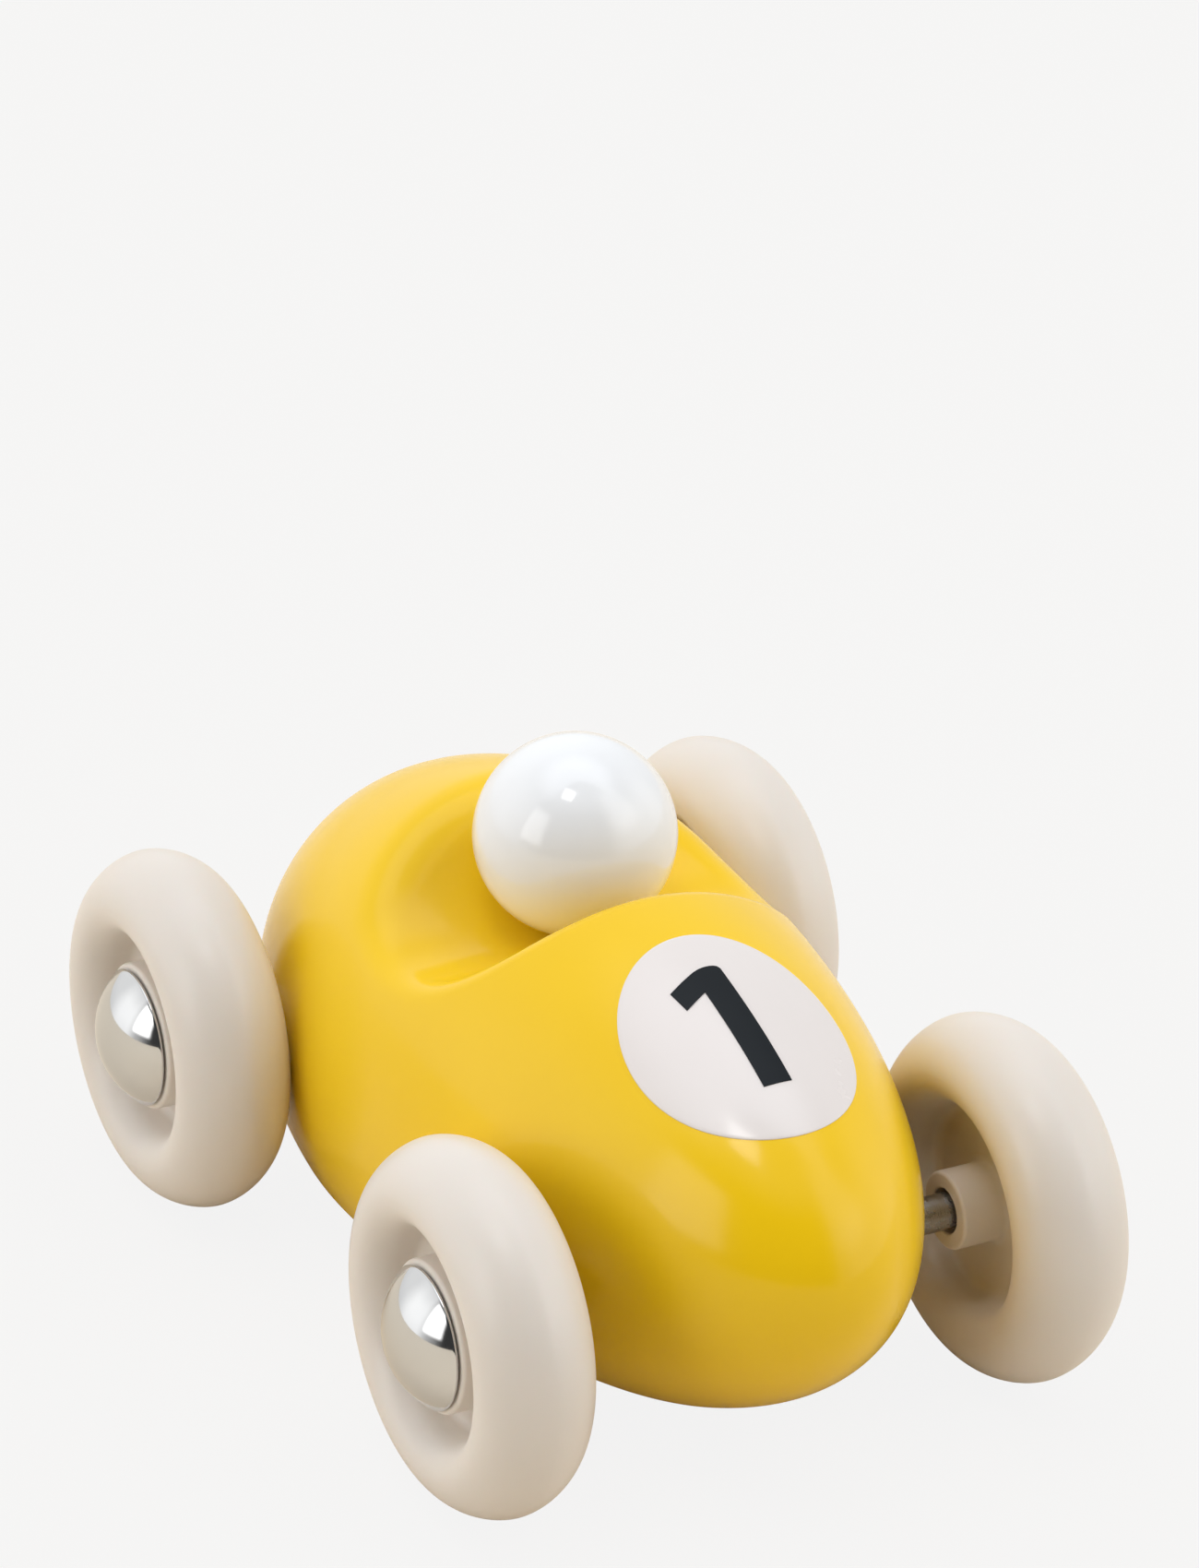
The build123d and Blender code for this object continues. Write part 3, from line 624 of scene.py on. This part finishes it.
def onHood(across, forward, growth):
    # a point drawn on the sloping plane above the hood moves along the plane's normal onto the grown egg:
    # reach = (sqrt(b^2 - a c) - b) / a, from |p + reach d| = 1 once the egg is scaled to a unit ball
    slope = math.radians(printShape["slopeDegrees"])
    normal = np.array([0.0, -math.sin(slope), math.cos(slope)])
    ahead = np.array([0.0, math.cos(slope), math.sin(slope)])
    start = np.array([0.0, printShape["middleY"], printShape["middleZ"]])
    start = start + across[..., None] * np.array([1.0, 0.0, 0.0]) + forward[..., None] * ahead
    tall, nose = egg["halfHeight"] + growth, egg["noseLength"] + growth

    def onUnitBall(v):
        along = v[..., 1] * riseCos - v[..., 2] * riseSin
        up = v[..., 1] * riseSin + v[..., 2] * riseCos
        sideways = v[..., 0] / (egg["squeeze"] * tall)
        return np.stack(np.broadcast_arrays(sideways, along / nose, up / tall), -1)

    p = onUnitBall(start - np.array([0.0, egg["middleY"], egg["middleZ"]]))
    d = onUnitBall(normal)
    a, b, c = (d * d).sum(-1), (p * d).sum(-1), (p * p).sum(-1) - 1
    reach = (-b + np.sqrt(np.clip(b * b - a * c, 0, None))) / a
    return start + reach[..., None] * normal


def makeRoundel(shape):
    # polar grid over an ellipse: out along the printed face, round the edge, and back along the underside
    turn = np.linspace(0, 2 * np.pi, 192, endpoint=False)[None, :]
    top = np.linspace(0.02, 0.995, 40)[:, None]
    edge = np.array([[0.9985], [1.0]])
    share = np.concatenate([top, edge, edge[::-1], top[::-1]])
    heights = np.concatenate([np.ones(40), [0.85, 0.5], [0.1, -0.1], np.full(40, -0.3)])
    lift = shape["layer"] * heights[:, None]
    x = shape["middle"][0] + shape["halfWidth"] * share * np.cos(turn)
    v = shape["middle"][1] + shape["halfLength"] * share * np.sin(turn)
    return closedSkin("numberRoundel", onHood(x, v, lift + 0 * turn), 80)


digitShape = {
    "topEdge": [
        (-6.5, 10.6), (-4.35, 11.8), (-2.2, 12.9), (-1.3, 13.22), (-0.4, 13.37),
        (0.4, 13.37), (1.0, 13.24), (1.4, 12.98), (1.6, 12.5),
    ],
    "flagHeel": (-5.9, 7.0), "flagInside": (-2.4, 9.0), "stemLow": -8.2,
}


def makeDigit(shape, layer):
    # a stroke between two edges; each edge's points are spread evenly along its length:
    # one runs flag tip, crown, stem foot, and the other runs flag heel, inside corner, stem foot
    along = np.concatenate([np.linspace(0, 1, 34)[:-1], np.linspace(1, 2, 44)])
    flagShare, stemShare = np.clip(along, 0, 1), np.clip(along - 1, 0, 1)
    topEdge = np.array(shape["topEdge"]) * mm
    heel, inside = (np.array(shape[k]) * mm for k in ("flagHeel", "flagInside"))
    low = shape["stemLow"] * mm
    length = np.concatenate([[0], np.cumsum(np.linalg.norm(np.diff(topEdge, axis=0), axis=1))])
    outer = np.stack([np.interp(flagShare * length[-1], length, topEdge[:, k]) for k in (0, 1)], -1)
    outer[:, 1] += stemShare * (low - topEdge[-1, 1])
    inner = heel + (inside - heel) * flagShare[:, None]
    inner[:, 1] += stemShare * (low - inside[1])
    width = np.linspace(0, 1, 9)[None, :, None]
    face = inner[:, None, :] * (1 - width) + outer[:, None, :] * width
    # the face's outline is one loop of points; the layer's wall follows it down
    rowCount, columnCount = face.shape[:2]
    topPoints = onHood(face[..., 0], face[..., 1], np.full(face.shape[:2], 2 * layer)).reshape(-1, 3)
    lowPoints = onHood(face[..., 0], face[..., 1], np.full(face.shape[:2], 0.8 * layer)).reshape(-1, 3)
    index = np.arange(rowCount * columnCount).reshape(rowCount, columnCount)
    corners = [index[:-1, :-1], index[1:, :-1], index[1:, 1:], index[:-1, 1:]]
    topFaces = np.stack(corners, -1).reshape(-1, 4)
    lowFaces = topFaces[:, ::-1] + index.size
    rimIndex = np.concatenate([index[:, 0], index[-1, 1:-1], index[::-1, -1], index[0, -2:0:-1]])
    after = np.roll(rimIndex, -1)
    wall = np.stack([after, rimIndex, rimIndex + index.size, after + index.size], -1)
    faces = np.concatenate([topFaces, lowFaces, wall]).tolist()
    return asMesh("numberDigit", np.concatenate([topPoints, lowPoints]), faces, 60)


finish(makeRoundel(printShape), materials["roundelPrint"], "car_body", "number_roundel")
digit = makeDigit(digitShape, printShape["layer"])
finish(digit, materials["digitPrint"], "car_body", "number_digit")
print("head, roundel and number made")


# wheels

wheelShape = {
    "radius": 25.0 * mm, "halfWidth": 8.1 * mm, "widest": 18.3 * mm, "hole": 13.4 * mm,
    "crownPower": 1.81, "lipPower": 2.25, "outerFloor": 1.0 * mm, "innerFloor": -1.5 * mm,
    "outerBoss": 10.2 * mm, "innerBoss": 5.35 * mm, "innerEnd": -8.4 * mm, "mouth": 3.1 * mm,
    "mouthDepth": 2.5 * mm, "bore": 2.5 * mm, "columns": 192,
    "outerEnd": 6.0 * mm, "outerLipStart": 2.4 * mm, "innerLipStart": 2.2 * mm,
    "crownSteps": 34, "lipSteps": 22,
}


def wheelProfile(shape):
    # two rounded quarters make the tread, two more the lips,
    # and a path with arcs at its corners makes the web and the bosses
    halfWidth, widest = shape["halfWidth"], shape["widest"]
    sideways, outwards = roundQuarter(shape["crownPower"], shape["crownSteps"])
    crown = np.stack([halfWidth * sideways, widest + (shape["radius"] - widest) * outwards], -1)
    sideways, inwards = roundQuarter(shape["lipPower"], shape["lipSteps"])
    lip = np.stack([halfWidth * sideways, widest - (widest - shape["hole"]) * inwards], -1)
    flip = np.array([-1.0, 1.0])
    outerLip = lip[lip[:, 0] > shape["outerFloor"] + shape["outerLipStart"]]
    innerLip = lip[lip[:, 0] > -shape["innerFloor"] + shape["innerLipStart"]]
    corners = [
        innerLip[0] * flip,
        (shape["innerFloor"], shape["hole"]), (shape["innerFloor"], shape["innerBoss"]),
        (shape["innerEnd"], shape["innerBoss"]), (shape["innerEnd"], shape["mouth"]),
        (shape["innerEnd"] + shape["mouthDepth"], shape["mouth"]),
        (shape["innerEnd"] + shape["mouthDepth"], shape["bore"]),
        (shape["outerEnd"], shape["bore"]), (shape["outerEnd"], shape["outerBoss"]),
        (shape["outerFloor"], shape["outerBoss"]), (shape["outerFloor"], shape["hole"]),
        outerLip[0],
    ]
    radii = np.array([0, 1.8, 1.2, 0.5, 0.3, 0, 0, 0.2, 0.6, 1.0, 1.5, 0]) * mm
    web = roundedPath(corners, radii, 8)
    return np.concatenate([
        crown[::-1], crown[1:] * flip, innerLip[::-1][1:] * flip, web[1:-1], outerLip[:-1],
    ])


def makeWheel(end, hand, outward):
    low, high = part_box(f"{end}_{hand}_wheel")
    centre = np.array([(low.x + high.x) / 2, (low.y + high.y) / 2, (low.z + high.z) / 2])
    profile = wheelProfile(wheelShape)
    return turned(f"{end}{hand.title()}Wheel", profile, wheelShape["columns"], centre, outward, True, 40)


# axle caps

capShape = {"radius": 9.55 * mm, "height": 4.8 * mm, "wall": 0.6 * mm, "columns": 160}


def capProfile(shape):
    # a shallow arc from the crown to a rolled edge, and a smaller arc back inside;
    # the ball it is cut from has radius (radius^2 + height^2) / (2 height)
    ball = (shape["radius"] ** 2 + shape["height"] ** 2) / (2 * shape["height"])
    middle = shape["height"] - ball
    lipRadius = shape["wall"] / 2
    widest = math.asin((shape["radius"] - lipRadius) / (ball - lipRadius))
    t = np.linspace(0.004, widest, 48)
    outer = np.stack([middle + ball * np.cos(t), ball * np.sin(t)], -1)
    around = np.linspace(0, np.pi, 10)[1:-1]
    rolled = np.stack([
        middle + (ball - lipRadius) * math.cos(widest) + lipRadius * np.cos(widest + around),
        (ball - lipRadius) * math.sin(widest) + lipRadius * np.sin(widest + around),
    ], -1)
    inner = np.stack([middle + (ball - shape["wall"]) * np.cos(t), (ball - shape["wall"]) * np.sin(t)], -1)
    return np.concatenate([outer, rolled, inner[::-1]])


def makeCap(end, hand, outward):
    low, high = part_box(f"{end}_{hand}_hubcap")
    rimX = low.x if outward > 0 else high.x
    centre = np.array([rimX, (low.y + high.y) / 2, (low.z + high.z) / 2])
    name = f"{end}{hand.title()}Cap"
    return turned(name, capProfile(capShape), capShape["columns"], centre, outward, False, 60)


# axles

axleShape = {"radius": 2.5 * mm, "chamfer": 0.4 * mm, "columns": 96}


def makeAxle(end):
    low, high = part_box(f"{end}_axle")
    half = (high.x - low.x) / 2
    centre = nodeMiddle(f"{end}_axle")
    r, c = axleShape["radius"], axleShape["chamfer"]
    profile = np.array([[-half, r - c], [-half + c, r], [half - c, r], [half, r - c]])
    return turned(f"{end}Axle", profile, axleShape["columns"], centre, 1.0, False)


for end in ("front", "rear"):
    finish(makeAxle(end), materials["axleSteel"], f"{end}_axle_set", f"{end}_axle")
    for hand, outward in (("right", -1.0), ("left", 1.0)):
        wheel = makeWheel(end, hand, outward)
        finish(wheel, materials["wheelPlastic"], f"{end}_axle_set", f"{end}_{hand}_wheel")
        cap = makeCap(end, hand, outward)
        finish(cap, materials["capChrome"], f"{end}_axle_set", f"{end}_{hand}_hubcap")
print("wheels, caps and axles made")


# the motor's own pieces keep their CAD shape and take a finish each

nodeFinishes = {
    "bareBeech": ["head_dowel"],
    "coverPlastic": ["motor_cover"],
    "screwSteel": ["cover_screws", "case_screws"],
    "casePlastic": ["motor_case_right", "motor_case_left"],
    "plateSteel": ["motor_plate", "compound_gear_pin", "wind_gear_pin"],
    "springSteel": [
        "mainspring", "front_left_push_nut", "front_right_push_nut",
        "rear_left_push_nut", "rear_right_push_nut",
    ],
    "gearPlastic": ["axle_pinion", "compound_gear", "spring_gear", "wind_gear"],
}
for finishName, nodeNames in nodeFinishes.items():
    for nodeName in nodeNames:
        nodeMesh = frame["nodes"][nodeName].data
        nodeMesh.materials.clear()
        nodeMesh.materials.append(materials[finishName])
print("motor pieces finished")


# floor, light and camera

stageLook = {
    "floorHalf": 3.0, "floorColour": (0.80, 0.71, 0.58), "floorShown": 0.95,
    "background": (0.922, 0.922, 0.922), "skyStrength": 1.0, "skyColour": (0.65, 0.66, 0.67),
}

# each panel of the studio: its azimuth and elevation from the car, its half sizes and its soft edge,
# all in degrees, and the red, green and blue it adds
panels = {
    "frontDark": (-130, 20, (54, 34), 10, (-0.60, -0.61, -0.62)),
    "overhead": (75, 84, (110, 26), 10, (1.2, 1.25, 1.35)),
    "leftFront": (-46, 42, (18, 22), 10, (1.1, 1.1, 1.1)),
    "back": (120, 26, (70, 30), 20, (0.35, 0.35, 0.35)),
    "rightSide": (165, 10, (30, 26), 14, (0.38, 0.38, 0.38)),
    "leftSide": (-28, 10, (36, 26), 14, (0.70, 0.70, 0.70)),
    "strip": (-170, 25, (13, 17), 3, (2.0, 2.0, 2.0)),
}


def lightPathMix(tree, first, second, share):
    # seen straight on, the result is share * second + (1 - share) * first; for all other rays it is first
    seen = addNode(tree, "ShaderNodeLightPath").outputs["Is Camera Ray"]
    factor = mathNode(tree, "MULTIPLY", seen, share)
    return addNode(tree, "ShaderNodeMixShader", n0=factor, n1=first, n2=second).outputs[0]


def makeFloor():
    h = stageLook["floorHalf"]
    points = [(-h, -h, 0.0), (h, -h, 0.0), (h, h, 0.0), (-h, h, 0.0)]
    mesh = bpy.data.meshes.new("paleFloor")
    mesh.from_pydata(points, [], [(0, 1, 2, 3)])
    floor = bpy.data.objects.new("paleFloor", mesh)
    bpy.context.scene.collection.objects.link(floor)
    material = bpy.data.materials.new("paleFloor")
    material.use_nodes = True
    tree = material.node_tree
    shader = tree.nodes["Principled BSDF"]
    shader.inputs["Base Color"].default_value = (*stageLook["floorColour"], 1.0)
    shader.inputs["Roughness"].default_value = 0.9
    shader.inputs["Specular IOR Level"].default_value = 0.1
    plain = addNode(tree, "ShaderNodeEmission", Color=(*stageLook["background"], 1.0), Strength=1.0)
    mixed = lightPathMix(tree, shader.outputs[0], plain.outputs[0], stageLook["floorShown"])
    tree.links.new(mixed, tree.nodes["Material Output"].inputs["Surface"])
    mesh.materials.append(material)
    return floor


def panelMask(tree, azimuth, elevation, panel):
    # 1 inside the panel and 0 outside, with a smooth edge; the azimuth difference wraps at half a turn
    panelAzimuth, panelElevation, halves, softness, _ = panel
    offset = mathNode(tree, "SUBTRACT", azimuth, math.radians(panelAzimuth))
    wrapped = addNode(tree, "ShaderNodeMath", {"operation": "WRAP"}, n0=offset, n1=math.pi, n2=-math.pi)
    raised = mathNode(tree, "SUBTRACT", elevation, math.radians(panelElevation))
    soft = math.radians(softness)
    parts = []
    for difference, half in zip((wrapped.outputs[0], raised), halves):
        distance = mathNode(tree, "ABSOLUTE", difference)
        edge = math.radians(half)
        parts.append(addNode(
            tree, "ShaderNodeMapRange", {"interpolation_type": "SMOOTHSTEP"},
            n0=distance, n1=edge + soft, n2=edge - soft, n3=0.0, n4=1.0,
        ).outputs[0])
    return mathNode(tree, "MULTIPLY", parts[0], parts[1])


def vectorNode(tree, operation, **sockets):
    return addNode(tree, "ShaderNodeVectorMath", {"operation": operation}, **sockets).outputs[0]


def makeWorld():
    # a plain grey studio with soft panels added in it, each by the direction looked along
    world = bpy.data.worlds.new("studio")
    world.use_nodes = True
    bpy.context.scene.world = world
    tree = world.node_tree
    direction = addNode(tree, "ShaderNodeTexCoord").outputs["Generated"]
    split = addNode(tree, "ShaderNodeSeparateXYZ", Vector=direction)
    azimuth = mathNode(tree, "ARCTAN2", split.outputs["Y"], split.outputs["X"])
    elevation = mathNode(tree, "ARCSINE", split.outputs["Z"])
    colour = stageLook["skyColour"]
    total = addNode(tree, "ShaderNodeCombineXYZ", X=colour[0], Y=colour[1], Z=colour[2]).outputs[0]
    for panel in panels.values():
        mask = panelMask(tree, azimuth, elevation, panel)
        scaled = vectorNode(tree, "SCALE", n0=panel[-1], Scale=mask)
        total = vectorNode(tree, "ADD", n0=total, n1=scaled)
    total = vectorNode(tree, "MAXIMUM", n0=total, n1=(0.0, 0.0, 0.0))
    background = tree.nodes["Background"]
    background.inputs["Strength"].default_value = stageLook["skyStrength"]
    tree.links.new(total, background.inputs["Color"])
    plain = addNode(tree, "ShaderNodeBackground", Color=(*stageLook["background"], 1.0), Strength=1.0)
    mixed = lightPathMix(tree, background.outputs[0], plain.outputs[0], 1.0)
    tree.links.new(mixed, tree.nodes["World Output"].inputs["Surface"])


ballBox = {"place": (-0.25, -0.18, 0.95), "aim": (0, 0, 0.03), "size": (0.2, 0.2), "power": 0.7}


def aimed(place, aim):
    # a rotation whose -Z looks from place to aim
    return (Vector(aim) - Vector(place)).to_track_quat("-Z", "Y").to_euler()


def makeSoftbox(name, settings):
    lamp = bpy.data.lights.new(name, "AREA")
    lamp.shape = "RECTANGLE"
    lamp.size, lamp.size_y = settings["size"]
    lamp.energy = settings["power"]
    box = bpy.data.objects.new(name, lamp)
    box.location = settings["place"]
    box.rotation_euler = aimed(settings["place"], settings["aim"])
    bpy.context.scene.collection.objects.link(box)


cameraView = {
    "azimuth": -28.332, "elevation": 27.985, "roll": 2.455, "distance": 878.8 * mm,
    "target": (9.8 * mm, 20.5 * mm, 62.7 * mm), "lens": 149.05, "sensor": 36.0,
}


def makeCamera(view):
    # right, up and back come from azimuth and elevation, then roll turns right and up about back
    a, e, r = (math.radians(view[k]) for k in ("azimuth", "elevation", "roll"))
    back = Vector((math.sin(a) * math.cos(e), -math.cos(a) * math.cos(e), math.sin(e)))
    right = Vector((math.cos(a), math.sin(a), 0))
    up = back.cross(right)
    rolledRight = right * math.cos(r) + up * math.sin(r)
    rolledUp = up * math.cos(r) - right * math.sin(r)
    place = Vector(view["target"]) + back * view["distance"]
    lens = bpy.data.cameras.new("camera")
    lens.lens, lens.sensor_width = view["lens"], view["sensor"]
    lens.clip_start, lens.clip_end = 0.05, 20.0
    camera = bpy.data.objects.new("camera", lens)
    camera.matrix_world = Matrix([
        (rolledRight[k], rolledUp[k], back[k], place[k]) for k in range(3)
    ] + [(0, 0, 0, 1)])
    bpy.context.scene.collection.objects.link(camera)
    bpy.context.scene.camera = camera


makeFloor()
makeWorld()
makeSoftbox("ballBox", ballBox)
makeCamera(cameraView)
bpy.context.scene.view_settings.view_transform = "Standard"
print("stage set")
